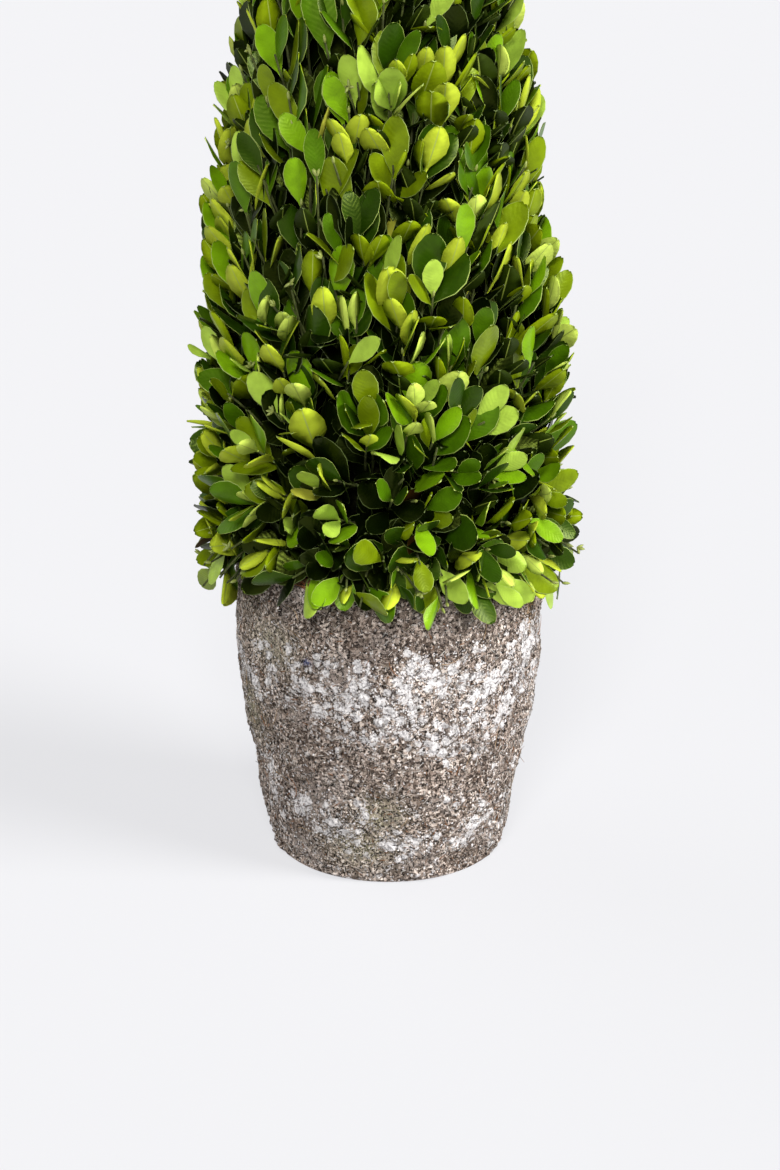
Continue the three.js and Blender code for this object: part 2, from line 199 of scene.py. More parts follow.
class Finish:
    # one material: its shader takes plain values, and add() makes any other node
    def __init__(self, name, color, roughness, specular=0.5, coat=0.0, coatRoughness=0.3):
        self.material = bpy.data.materials.new(name)
        self.material.use_nodes = True
        self.nodes, self.links = self.material.node_tree.nodes, self.material.node_tree.links
        self.shader = self.nodes["Principled BSDF"]
        self.material.diffuse_color = (*color, 1)
        for key, value in {
            "Base Color": (*color, 1), "Roughness": roughness, "Specular IOR Level": specular,
            "Coat Weight": coat, "Coat Roughness": coatRoughness,
        }.items():
            self.plug(self.shader, key, value)

    def plug(self, node, key, value):
        if isinstance(value, Wire):
            self.links.new(value.socket, node.inputs[key])
        elif value is not None:
            node.inputs[key].default_value = value

    def add(self, kind, settings=None, sockets=None, output=0):
        node = self.nodes.new(kind)
        for key, value in (settings or {}).items():
            if key == "stops":
                for extra in value[2:]:
                    node.color_ramp.elements.new(extra[0])
                for element, (at, color) in zip(node.color_ramp.elements, sorted(value)):
                    element.position, element.color = at, (*color, 1)
            else:
                setattr(node, key, value)
        for key, value in (sockets or {}).items():
            self.plug(node, key, value)
        return Wire(self, node.outputs[output])

    def mix(self, factor, first, second):
        first, second = [(*c, 1) if isinstance(c, tuple) else c for c in (first, second)]
        return self.add("ShaderNodeMix", dict(data_type="RGBA"), {0: factor, 6: first, 7: second}, 2)

    def texture(self, kind, scale, stretch, turn, output=0, **sockets):
        # a texture in the object's own metres, turned and stretched
        at = self.add("ShaderNodeTexCoord", output=3)
        at = self.add("ShaderNodeMapping", None, {"Vector": at, "Scale": stretch, "Rotation": turn})
        return self.add(kind, None, {"Vector": at, "Scale": scale, **sockets}, output)

    def noise(self, scale, detail, roughness, stretch=(1, 1, 1), turn=(0, 0, 0), distortion=0.0):
        sockets = dict(Detail=detail, Roughness=roughness, Distortion=distortion)
        return self.texture("ShaderNodeTexNoise", scale, stretch, turn, **sockets)

    def cells(self, scale, stretch=(1, 1, 1), turn=(0, 0, 0), output=0):
        return self.texture("ShaderNodeTexVoronoi", scale, stretch, turn, output)

    def cellPick(self, scale, stretch=(1, 1, 1), turn=(0, 0, 0)):
        # one random value for each cell
        return self.add("ShaderNodeSeparateColor", None, {0: self.cells(scale, stretch, turn, 1)})

    def attribute(self, name):
        return self.add("ShaderNodeAttribute", dict(attribute_name=name), output=2)

    def sideVeins(self, pace=78):
        # ridges that leave the midrib and run on towards the tip
        return ((self.attribute("along") - self.attribute("across").size() * 0.17) * pace).sine()

    def wear(self, color, roughness=None, height=None, depth=0.0002, strength=1.0):
        # what changes over the surface: colour, roughness and a bump of the given depth
        self.plug(self.shader, "Base Color", color)
        self.plug(self.shader, "Roughness", roughness)
        if height is not None:
            sockets = {"Height": height, "Distance": depth, "Strength": strength}
            self.plug(self.shader, "Normal", self.add("ShaderNodeBump", None, sockets))
        return self.material


def toned(color, factor):
    return tuple(factor * c for c in color)


def strandFinish(name, color):
    f = Finish(name, color, 0.8, 0.25)
    tone = f.noise(700, 2, 0.6).above(0.3, 0.7)
    return f.wear(f.mix(tone, toned(color, 0.6), color), None, f.noise(1800, 2, 0.6), 0.0001, 0.5)


def makeStrands(name, slot, paths, radii, sides, colors, kind):
    # a tube along each path, with the colour of its kind on its sides and on both end faces
    points, faces = tubes(paths, radii, sides)
    kinds = np.concatenate([np.repeat(kind, sides * (paths.shape[1] - 1)), kind, kind])
    finishes = [strandFinish(*item) for item in colors.items()]
    place(meshFrom(name, points, faces, finishes, kinds), slot)


def barkFinish(name, light, dark):
    f = Finish(name, light, 0.85, 0.25)
    ridges = f.noise(420, 4, 0.65, (1, 1, 0.18))
    return f.wear(f.mix(ridges.above(0.35, 0.65), dark, light), None, ridges, 0.0005, 0.9)


# the pot
pot = dict(
    widest=potHigh[0], widestHeight=0.096, rim=0.0622, foot=0.048, footRound=0.0025, swellPower=1.42,
    wall=0.006, floor=0.007, rimRound=0.0022, sides=528, wallRows=150,
    lumps=0.00050, lumpSize=0.030, grain=0.00042, grainSizes=(0.0042, 0.0024), limeThickness=0.0003,
    rimZone=0.005, rimWaver=0.0007, rimWaverSize=0.018, rimGrain=0.0003, seed=3,
)
pulp = dict(
    dark=(0.120, 0.082, 0.060), light=(0.255, 0.195, 0.158), stain=(0.075, 0.052, 0.040),
    bleached=(0.46, 0.40, 0.36), damp=(0.05, 0.038, 0.030), lichen=(0.40, 0.39, 0.24),
    ochre=(0.50, 0.26, 0.05), blue=(0.035, 0.075, 0.230), haze=(0.50, 0.48, 0.475), lime=(0.70, 0.675, 0.67),
    # near-black painted shade for the pits between the chips
    void=(0.008, 0.006, 0.005),
    # the grit above which each mark shows, from thin to full, and its share
    marks=dict(lichen=(0.40, 0.60, 0.6), ochre=(0.42, 0.58, 0.8), blue=(0.35, 0.50, 0.9)),
    chipTones=[
        (0.0, (0.012, 0.008, 0.006)), (1.0, (0.88, 0.78, 0.70)), (0.24, (0.072, 0.050, 0.037)),
        (0.50, (0.235, 0.182, 0.150)), (0.82, (0.54, 0.450, 0.384))],
    chips=1120, grit=1700, shadedPits=860, dabs=250, specks=1150,  # repeats in a metre
)
# how far lime covers the wall: share, unevenness and its size; then pairs of heights to fade between
limeCover = dict(
    spots=(0.62, 0.20, 0.007), band=(0.13, 0.17, 0.012), scatter=(0.08, 0.11, 0.014), foot=0.10,
    bandLow=(0.064, 0.088), bandHigh=(0.113, 0.100), footHigh=(0.055, 0.020), end=(0.118, 0.106),
)
# marks on the wall: degrees round from the front, then height, half width and half height in millimetres
spots = dict(
    lime=(
        (32, 87, 13, 10), (24, 74, 10, 6), (62, 94, 12, 13), (50, 78, 5, 12), (-14, 86, 14, 9),
        (-30, 90, 6, 4), (-60, 84, 7, 6), (20, 64, 8, 5), (10, 98, 6, 8), (-42, 33, 6, 4),
        (-58, 40, 4, 11), (-24, 28, 10, 5), (6, 21, 8, 4), (44, 26, 7, 6), (2, 76, 12, 5),
        (78, 62, 6, 14), (118, 86, 14, 10), (150, 60, 9, 8), (176, 90, 15, 9), (205, 36, 10, 6),
        (228, 80, 12, 12), (262, 50, 8, 8), (284, 88, 8, 8), (140, 24, 9, 5),
    ),
    lichen=(
        (-13, 18, 12, 8), (-4, 34, 8, 7), (-50, 104, 12, 8), (-70, 70, 10, 12),
        (98, 34, 12, 10), (190, 60, 14, 10), (150, 100, 10, 8),
    ),
    ochre=((68, 117, 5, 8), (64, 106, 3, 4), (-120, 112, 6, 5), (170, 70, 4, 4)),
    blue=((-31, 101.5, 1.6, 1.1),),
)


def pulpFinish():
    # pressed chips that lie two ways, each of its own tone, pits between them with near-black painted shade
    # in them, and lime and lichen on top
    f = Finish("weatheredPulp", (0.2, 0.165, 0.14), 0.95, 0.2)
    chipsFlat = f.cellPick(pulp["chips"], (1, 1, 0.42), (0.5, 0.3, 0.0))
    chipsSteep = f.cellPick(pulp["chips"], (0.42, 1, 1), (0.2, 1.1, 0.6))
    tone = chipsFlat + f.noise(420, 1, 0.5).above(0.47, 0.53) * (chipsSteep - chipsFlat)
    grit = f.noise(pulp["grit"], 3, 0.75)
    # pits between the chips, which get near-black painted shade and are sunk by the bump
    shadedPits = (f.noise(pulp["shadedPits"], 3, 0.78, distortion=0.4) + grit * 0.4).above(0.665, 0.630)
    ground = f.mix(f.noise(70, 3, 0.55).above(0.35, 0.65), pulp["dark"], pulp["light"])
    ground = f.mix(0.76, ground, f.add("ShaderNodeValToRGB", dict(stops=pulp["chipTones"]), {0: tone}))
    pale = f.noise(52, 3, 0.6, turn=(0.7, 0.2, 0.4)).above(0.50, 0.64)
    layers = [
        (f.noise(38, 3, 0.6).above(0.50, 0.62) * 0.38, "stain"), (pale * 0.30, "bleached"),
        # darker in a band just under the rim
        (f.attribute("damp") * 0.09, "damp")]
    for mark, (low, high, share) in pulp["marks"].items():
        layers.append((f.attribute(mark) * grit.above(low, high) * share, mark))
    # lime: ragged dabs and small specks where it is thick, a thin haze around them
    lime = f.attribute("lime") * (1 - f.attribute("blue"))
    clots = f.noise(330, 3, 0.7)
    crumbs = f.noise(1150, 3, 0.85)
    dab = (0.50 - f.cells(pulp["dabs"]) + lime * 0.22 + (crumbs - 0.5) * 0.9).above(0.06, 0.16)
    dabPick = f.cellPick(pulp["dabs"])
    chalk = dab * (dabPick * 0.55 + lime + clots * 0.35).above(0.78, 0.86) * 0.85
    speckPick = f.cellPick(pulp["specks"])
    speck = f.cells(pulp["specks"]).above(0.62, 0.42)
    speck = speck * (speckPick + lime * 0.68 + clots * 0.45).above(1.17, 1.24)
    chalk = chalk + speck * (1 - chalk)
    layers += [
        ((lime * 0.8 + clots * 0.7).above(0.62, 1.20) * 0.22, "haze"), (chalk * 0.95, "lime"),
        # painted shade in the pits, weaker where chalk covers them
        (shadedPits * (1 - chalk * 0.50) * 0.97, "void")]
    for share, name in layers:
        ground = f.mix(share, ground, pulp[name])
    height = tone * 0.5 + grit * 0.3 + chalk * 0.35 - shadedPits * 0.9
    return f.wear(ground, None, height, 0.0007, 0.9)


def potRadius(z):
    # swells from the foot by a power of the height, and draws in a little from the shoulder to the rim
    z, widest, shoulder = np.maximum(z, pot["footRound"]), pot["widest"], pot["widestHeight"]
    above = np.clip((z - shoulder) / (potTop - shoulder), 0, None)
    below = np.clip((shoulder - z) / (shoulder - pot["footRound"]), 0, None)
    high = widest - (widest - pot["rim"]) * above ** 2
    low = widest - (widest - pot["foot"]) * below ** pot["swellPower"]
    return np.where(z > shoulder, high, low)


def arc(r, z, radius, start, end, steps):
    angle = np.linspace(start, end, steps)
    return r + radius * np.cos(angle), z + radius * np.sin(angle)


def potProfile():
    # out along the underside, up the wall, over the rounded rim and back to the axis along the floor inside
    footRound, rimRound = pot["footRound"], pot["rimRound"]
    wallTop, inner = potTop - rimRound, pot["rim"] - pot["wall"]
    foot = arc(pot["foot"] - footRound, footRound, footRound, -pi / 2, 0, 10)
    wallZ = np.linspace(footRound, wallTop, pot["wallRows"])[1:-1]
    rimOut = arc(pot["rim"] - rimRound, wallTop, rimRound, 0, pi / 2, 7)
    rimIn = arc(inner + rimRound, wallTop, rimRound, pi / 2, pi, 6)
    innerZ = np.linspace(wallTop, pot["floor"], 12)[1:]
    innerR = potRadius(innerZ) - pot["wall"]
    under = np.linspace(0, foot[0][0], 6)[:-1]
    radii = [under, foot[0], potRadius(wallZ), rimOut[0], rimIn[0], innerR, [0.02, 0]]
    heights = [0 * under, foot[1], wallZ, rimOut[1], rimIn[1], innerZ, [pot["floor"]] * 2]
    return np.concatenate(radii), np.concatenate(heights)


def spotSum(points, mark):
    # each spot falls off with distance along the wall and up it; the strongest one counts
    angle = np.arctan2(points[:, 0], -points[:, 1])
    around = fromMiddle(points)
    total = np.zeros(len(points))
    for degrees, *sizes in spots[mark]:
        height, halfWide, halfTall = np.array(sizes) / 1000
        apart = (angle - radians(degrees) + pi) % (2 * pi) - pi
        far = (apart * around / halfWide) ** 2 + ((points[:, 2] - height) / halfTall) ** 2
        total = np.maximum(total, np.exp(-0.7 * far))
    return total


def limeOn(points):
    # the spots, a ragged band under the shoulder, and a thin scatter, thicker at the foot; none at the rim
    z = points[:, 2]

    def ragged(key, extraSeed):
        share, unevenness, size = limeCover[key]
        return share + unevenness * waves(points, size, pot["seed"] + extraSeed)

    lime = spotSum(points, "lime") * ragged("spots", 3)
    band = smoothStep(*limeCover["bandLow"], z) * smoothStep(*limeCover["bandHigh"], z)
    lime += band * ragged("band", 4)
    lime += ragged("scatter", 8)
    lime += limeCover["foot"] * smoothStep(*limeCover["footHigh"], z)
    return np.clip(lime * smoothStep(*limeCover["end"], z), 0, 1)


def makePot():
    # the turned profile, its outer face pushed in and out by slow lumps, two sizes of grain and the lime
    points, faces = turned(*potProfile(), pot["sides"])
    z = points[:, 2]
    around = fromMiddle(points)
    outside = smoothStep(0, 0.004, around - (potRadius(z) - 0.005))
    upright = smoothStep(0.0003, 0.0030, z) * (1 + 0.8 * smoothStep(0.012, 0.002, z))
    rimZone = smoothStep(potTop - pot["rimZone"], potTop, z)
    lumps = waves(points, pot["lumpSize"], pot["seed"]) * pot["lumps"]
    coarse, fine = pot["grainSizes"]
    grain = np.clip(waves(points, coarse, pot["seed"] + 1), -1.6, 1.8) * 0.6
    grain += np.clip(waves(points, fine, pot["seed"] + 2, 64), -1.6, 1.8) * 0.55
    lime = limeOn(points)
    push = outside * upright * (lumps + grain * pot["grain"] + lime * pot["limeThickness"])
    points[:, :2] += (points[:, :2] / np.maximum(around, 1e-6)[:, None]) * push[:, None]
    z += rimZone * waves(points, pot["rimWaverSize"], pot["seed"] + 5) * pot["rimWaver"]
    z += rimZone * grain * pot["rimGrain"]
    notes = {mark: spotSum(points, mark) for mark in pulp["marks"]}
    notes["lime"] = lime
    # a darker band just under the rim, with a wavy lower edge
    notes["damp"] = smoothStep(0.098, 0.116, z + 0.004 * waves(points, 0.022, pot["seed"] + 6))
    place(meshFrom("potShell", points, faces, [pulpFinish()], None, notes), "pot_pulp", "pot")


bits = dict(
    count=9000, lengths=(0.0009, 0.0034), radii=(0.00010, 0.00024), lean=0.12,
    colors=dict(
        tanBits=(0.30, 0.245, 0.19), greyBits=(0.42, 0.39, 0.36), darkBits=(0.035, 0.027, 0.021),
        paleBits=(0.62, 0.58, 0.53), rustBits=(0.27, 0.125, 0.055)),
    shares=(0.34, 0.22, 0.20, 0.16, 0.08),
)


def makePotBits():
    # short straight bits pressed into the wall, each a three-sided prism lying along it at its own angle
    rng = np.random.default_rng(pot["seed"] + 20)
    count = bits["count"]
    angle = rng.uniform(0, 2 * pi, count)
    z = rng.uniform(0.004, potTop - 0.001, count)
    out = polar(1, angle)
    along = np.cross(upward, out)
    turn = rng.uniform(0, pi, count)
    way = swung(along, upward, turn)
    way += out * rng.uniform(-bits["lean"], bits["lean"], count)[:, None]
    length = rng.uniform(*bits["lengths"], count)
    centre = out * (potRadius(z) + 0.0001)[:, None]
    centre[:, 2] = z
    centre += out * (waves(centre, pot["lumpSize"], pot["seed"]) * pot["lumps"])[:, None]
    centre += out * rng.uniform(-0.0001, 0.0003, count)[:, None]
    paths = centre[:, None] + way[:, None] * (length[:, None] * [-0.5, 0.5])[..., None]
    thick = rng.uniform(*bits["radii"], count)[:, None] * [1, 0.7]
    kind = rng.choice(5, count, p=bits["shares"])
    makeStrands("potBits", "pot_pulp", paths, thick, 3, bits["colors"], kind)


hairs = dict(
    count=90, stations=9, lengths=(0.005, 0.015), radii=(0.00010, 0.00020), bend=0.9,
    looseShare=0.3, lifts=(0.0008, 0.0030),
    colors=dict(strawHairs=(0.42, 0.28, 0.15), rustHairs=(0.33, 0.14, 0.055), darkHairs=(0.05, 0.037, 0.026)),
    shares=(0.5, 0.3, 0.2),
)


def makePotStrands():
    # longer hairs on the wall: arcs that bend in the wall's surface, a few of which stand off it
    rng = np.random.default_rng(pot["seed"] + 40)
    count, stations = hairs["count"], hairs["stations"]
    angle = rng.uniform(0, 2 * pi, count)
    z = rng.uniform(0.012, potTop - 0.006, count)
    turn, bend = rng.uniform(0, pi, count), rng.normal(0, hairs["bend"], count)
    length = rng.uniform(*hairs["lengths"], count)
    lift = np.where(rng.uniform(size=count) < hairs["looseShare"], rng.uniform(*hairs["lifts"], count), 0.0)
    t = np.linspace(0, 1, stations)
    way = turn[:, None] + bend[:, None] * (t - 0.5)
    step = length[:, None] / (stations - 1)
    across = np.cumsum(np.cos(way) * step, 1)
    up = z[:, None] + np.cumsum(np.sin(way) * step, 1)
    up = np.clip(up, 0.003, potTop - 0.001)
    radius = potRadius(up) + 0.00045 + lift[:, None] * t ** 2
    paths = polar(radius, angle[:, None] + across / radius, up)
    thick = rng.uniform(*hairs["radii"], count)[:, None] * (1 - 0.6 * t)
    kind = rng.choice(3, count, p=hairs["shares"])
    makeStrands("potStrands", "fibre", paths, thick, 4, hairs["colors"], kind)


# the packed fibre
fill = dict(
    top=0.124, low=0.0073, sideGap=0.0012, sides=120, topRings=30, relief=0.0008, seed=11,
    strands=520, stations=9, radii=(0.00014, 0.00032), ring=(0.0500, 0.0550), sweep=0.22,
    tuft=110, tuftAngle=-90 - 28, tuftOut=(0.0035, 0.0080), tuftUp=(0.0002, 0.0022),
    colors=dict(redFibre=(0.22, 0.075, 0.025), tanFibre=(0.36, 0.20, 0.09)), shares=(0.65, 0.35),
)


def fibreFinish():
    f = Finish("packedFibre", (0.14, 0.06, 0.025), 0.95, 0.15)
    streak = f.noise(600, 3, 0.65, (1, 0.3, 1), (0.4, 0.2, 0.9))
    clumps = f.noise(160, 3, 0.6)
    shade = f.mix(clumps.above(0.35, 0.65), (0.05, 0.022, 0.01), (0.17, 0.075, 0.03))
    shade = f.mix(streak.above(0.55, 0.75), shade, (0.32, 0.17, 0.08))
    return f.wear(shade, None, streak + clumps, 0.0008, 0.9)


def makeFill():
    # a plug a little inside the pot's wall, its top raised and sunk by two sizes of waves
    sideZ = np.linspace(fill["low"], fill["top"] - 0.002, 8)
    sideR = potRadius(sideZ) - pot["wall"] - fill["sideGap"]
    topR = np.linspace(sideR[-1] - 0.001, 0.0, fill["topRings"])
    radii = np.concatenate([[0], sideR, topR])
    heights = np.concatenate([[fill["low"]], sideZ, np.full(fill["topRings"], fill["top"])])
    points, faces = turned(radii, heights, fill["sides"])
    upper = smoothStep(fill["top"] - 0.003, fill["top"], points[:, 2])
    relief = waves(points, 0.009, fill["seed"]) + 0.7 * waves(points, 0.004, fill["seed"] + 1)
    points[:, 2] += upper * (relief * fill["relief"] - 0.0012)
    place(meshFrom("fibreFill", points, faces, [fibreFinish()]), "fibre", "fibre_fill")


def makeFillStrands():
    # loose strands in the ring between the rim and the leaves, each an arc that rises and falls once
    rng = np.random.default_rng(fill["seed"] + 5)
    count, stations = fill["strands"], fill["stations"]
    t = np.linspace(0, 1, stations)
    start = rng.uniform(0, 2 * pi, count)
    sweep = rng.normal(0, fill["sweep"], count)
    radius = rng.uniform(*fill["ring"], count)[:, None] + rng.normal(0, 0.0012, count)[:, None] * (t - 0.5)
    z = fill["top"] + rng.uniform(0.0, 0.008, count)[:, None]
    # a tuft of them lies over the rim at the front left
    tuft = np.arange(count) < fill["tuft"]
    start = np.where(tuft, radians(fill["tuftAngle"]) + rng.normal(0, 0.16, count), start)
    radius = radius + np.where(tuft, rng.uniform(*fill["tuftOut"], count), 0)[:, None]
    z = np.where(tuft[:, None], potTop + rng.uniform(*fill["tuftUp"], count)[:, None], z)
    z = z + rng.uniform(-0.001, 0.0035, count)[:, None] * np.sin(pi * t)
    paths = polar(radius, start[:, None] + sweep[:, None] * t, z)
    thick = rng.uniform(*fill["radii"], count)[:, None] * (1 - 0.5 * t)
    kind = rng.choice(2, count, p=fill["shares"])
    makeStrands("fillStrands", "fibre", paths, thick, 4, fill["colors"], kind)


# the crown's outline and its inside, by the same rules as in the model; the inside is a core coloured
# near-black as painted shade
crown = dict(
    top=0.610, widest=0.083, widestHeight=0.150, tip=0.013, taperPower=1.55, tuck=0.008, lowest=0.106,
    offset=-0.0015, lean=-0.012, leafDepth=0.028, neck=0.050, shoulder=0.014, coreTop=0.572, coreTip=0.003,
    tiers=(0.225, 0.340), seed=22,
)
core = dict(
    inset=0.006, least=0.002, rows=170, sides=170,
    relief=0.0011, reliefSize=0.012, fineRelief=0.0007, fineSize=0.006,
)


def axisX(z):
    return crown["offset"] + crown["lean"] * np.maximum(0, z - potTop)


def crownRadius(z):
    # narrows from the widest height to the tip as 1 - share^power, and tucks in below as a square
    widest, level = crown["widest"], crown["widestHeight"]
    below = (level - z) / (level - crown["lowest"])
    above = np.clip((z - level) / (crown["top"] - level), 0, 1)
    high = crown["tip"] + (widest - crown["tip"]) * (1 - above ** crown["taperPower"])
    return np.where(z < level, widest - crown["tuck"] * below ** 2, high)


def coreRadius(z):
    # a leaf's depth inside the outline, with a quarter-sine shoulder that rises from the neck
    shoulderTop = potTop + crown["shoulder"]
    full = np.maximum(crown["coreTip"], crownRadius(np.maximum(z, shoulderTop)) - crown["leafDepth"])
    rise = np.clip((z - potTop - 0.002) / (crown["shoulder"] - 0.002), 0, 1)
    return crown["neck"] + (full - crown["neck"]) * np.sin(rise * pi / 2)


def fromAxis(points):
    return np.hypot(points[..., 0] - axisX(points[..., 2]), points[..., 1])


def depthOf(points):
    # how far inside the crown's outline a point lies
    return crownRadius(points[..., 2]) - fromAxis(points)


def coreFinish():
    # near-black painted shade for the crowded inside of the crown, a little uneven
    f = Finish("shadedInside", (0.006, 0.007, 0.003), 0.9, 0.02)
    litter = f.noise(260, 4, 0.7)
    shade = f.mix(litter.above(0.45, 0.7), (0.002, 0.002, 0.001), (0.014, 0.014, 0.005))
    return f.wear(shade, None, litter, 0.002, 0.9)


def makeCore():
    z = np.linspace(fill["top"] + 0.0008, crown["coreTop"] - 0.003, core["rows"])
    points, faces = turnedRod(np.maximum(coreRadius(z) - core["inset"], core["least"]), z, core["sides"])
    around = fromMiddle(points)
    relief = core["relief"] * waves(points, core["reliefSize"], 61)
    relief += core["fineRelief"] * waves(points, core["fineSize"], 62)
    shape = smoothStep(0.0, 0.02, around) * smoothStep(potTop, potTop + 0.006, points[:, 2])
    points[:, :2] *= (1 + shape * relief / np.maximum(around, 0.002))[:, None]
    points[:, 0] += axisX(points[:, 2])
    place(meshFrom("innerCore", points, faces, [coreFinish()]), "foliage")


# the trunk
stem = dict(
    foot=0.0075, tip=0.0045, flare=0.0025, low=0.1243, top=0.265, sides=64, rows=90,
    ridges=0.0004, ridgeCount=7, ridgeTwist=30, light=(0.26, 0.20, 0.13), dark=(0.09, 0.065, 0.04),
)


def makeStem():
    # a tapered rod that flares at its foot as (1 - t)^6, with ridges cos(7 a + 30 z) and grain along it
    t = np.linspace(0, 1, stem["rows"])
    radii = stem["foot"] + (stem["tip"] - stem["foot"]) * t + stem["flare"] * (1 - t) ** 6
    points, faces = turnedRod(radii, stem["low"] + (stem["top"] - stem["low"]) * t, stem["sides"])
    angle = np.arctan2(points[:, 1], points[:, 0])
    ridge = np.cos(stem["ridgeCount"] * angle + stem["ridgeTwist"] * points[:, 2])
    ridge += waves(points * (1, 1, 0.25), 0.004, 51)
    around = np.maximum(fromMiddle(points), 1e-6)
    points[:, :2] *= (1 + np.where(around > 0.001, (ridge - 1) * stem["ridges"], 0) / around)[:, None]
    points[:, 0] += axisX(points[:, 2])
    finish = barkFinish("greyBark", stem["light"], stem["dark"])
    place(meshFrom("stemBark", points, faces, [finish]), "bark", "stem")


# the sprigs: roots on a golden-angle spiral up the core, each with a rise that grows with height
sprig = dict(
    count=1240, pairs=6, internode=0.0056, tipGap=0.0012, tipInside=0.0140, sunk=0.016, unevenness=0.0017,
    riseHeights=(0.135, 0.146, 0.160, 0.180, 0.205, 0.300, 0.460, 0.575),
    riseAngles=(0, 2, 14, 40, 64, 71, 75, 86), riseJitter=9, swingJitter=15, turnJitter=0.10, bend=0.0022,
    droop=0.015, droopHeights=(0.158, 0.140), clippedShare=0.13, stub=0.0025,
    twigRadius=0.0008, twigTip=0.00042, twigSides=5, stations=6,
    # the twigs' bark colours are their own grey-green, darkened as painted shade among the leaves
    twigLight=(0.072, 0.090, 0.018), twigDark=(0.026, 0.028, 0.009),
)
goldenAngle = pi * (3 - sqrt(5))


def bumps(points):
    # the clipped surface isn't quite even
    return waves(points, 0.06, crown["seed"] + 3, 24) * sprig["unevenness"]


def growSprigs():
    # each runs out of the core until it nears the outline, bending as the square of the distance along it
    rng = np.random.default_rng(crown["seed"])
    n = sprig["count"]
    z = np.linspace(potTop + 0.003, crown["coreTop"] - 0.001, 800)
    weight = coreRadius(z) + 0.018 + np.where(z < potTop + 0.020, 0.150, 0)
    total = np.cumsum(weight) / weight.sum()
    share = (np.arange(n) + 0.5 + rng.uniform(-0.4, 0.4, n)) / n
    rootZ = np.interp(share, total, z)
    azimuth = np.arange(n) * goldenAngle + rng.normal(0, sprig["turnJitter"], n)
    rise = np.interp(rootZ, sprig["riseHeights"], np.radians(sprig["riseAngles"]))
    rise = rise + np.radians(rng.normal(0, sprig["riseJitter"], n))
    swing = azimuth + np.radians(rng.normal(0, sprig["swingJitter"], n)) * (rootZ < 0.5)
    root = polar(1, azimuth) * coreRadius(rootZ)[:, None]
    root[:, 0] += axisX(rootZ)
    root[:, 2] = rootZ
    way = polar(np.cos(rise), swing, np.sin(rise))
    steps = np.arange(0.004, 0.070, 0.0005)
    ahead = root[:, None] + way[:, None] * steps[:, None]
    inside = sprig["tipInside"] + 0.0016 * np.abs(rng.normal(size=(n, 1))) - bumps(root)[:, None]
    low = smoothStep(*sprig["droopHeights"], rootZ)
    inside = inside * (1 - low * rng.uniform(-0.1, 0.75, n))[:, None]
    past = (fromAxis(ahead) > crownRadius(ahead[..., 2]) - inside) | (ahead[..., 2] > crown["top"] - 0.014)
    length = steps[np.where(past.any(1), past.argmax(1), len(steps) - 1)]
    bend = rng.normal(0, sprig["bend"], (n, 3)) + [0, 0, 0.0015]
    bend[:, 2] -= sprig["droop"] * low * rng.uniform(0.5, 1.15, n)
    s = dict(
        root=root, way=way, length=length, bend=bend, turn=rng.uniform(0, pi, n),
        shade=rng.uniform(size=n), vigour=rng.uniform(0.86, 1.14, n),
        clipped=rng.uniform(size=n) < sprig["clippedShare"], lie=rng.uniform(0.0, 0.8, n))
    s["end"] = length + np.where(s["clipped"], sprig["stub"], 0)
    return s


def alongSprig(s, distance):
    # root + way d + bend (d / length)^2, for distances of shape (sprigs, places)
    part = np.clip(distance / s["length"][:, None], 0, None)
    bent = s["bend"][:, None] * (part ** 2)[..., None]
    return s["root"][:, None] + s["way"][:, None] * distance[..., None] + bent


def outsidePot(points, gap=0.0009):
    # false where a point lies in the pot's wall or inside it
    wall = potRadius(np.minimum(points[..., 2], potTop)) + gap
    return (points[..., 2] > potTop + gap) | (fromMiddle(points) > wall)


def fringe(points):
    # how low the leaves hang: a little lower at the sides and the back than at the front, lowest on the right
    radius = np.maximum(fromMiddle(points), 0.001)
    return 0.109 + 0.016 * smoothStep(0.25, 0.75, -points[..., 1] / radius) - 0.004 * points[..., 0] / radius


def makeTwigs(s):
    # the clipped ones end in a bare stub; a twig that would cross the pot's wall is left out
    t = np.linspace(0, 1, sprig["stations"])
    paths = alongSprig(s, -sprig["sunk"] + (s["end"] + sprig["sunk"])[:, None] * t)
    kept = outsidePot(paths[:, 2:]).all(1) & (paths[:, -1, 2] > fringe(paths[:, -1]) + 0.005)
    thick = sprig["twigRadius"] + (sprig["twigTip"] - sprig["twigRadius"]) * t
    thick = np.broadcast_to(thick, (kept.sum(), sprig["stations"]))
    points, faces = tubes(paths[kept], thick, sprig["twigSides"])
    finish = barkFinish("greenTwig", sprig["twigLight"], sprig["twigDark"])
    place(meshFrom("twigs", points, faces, [finish]), "bark")
    s["kept"] = kept


buds = dict(
    tipShare=0.4, knotShare=0.45, knot=5, splay=0.75, color=(0.30, 0.33, 0.07),
    dark=(0.10, 0.15, 0.02), pale=(0.32, 0.34, 0.08),
    along=(-0.0004, 0.0007, 0.0019, 0.0030), radii=(0.0004, 0.0007, 0.0006, 0.0001),
)


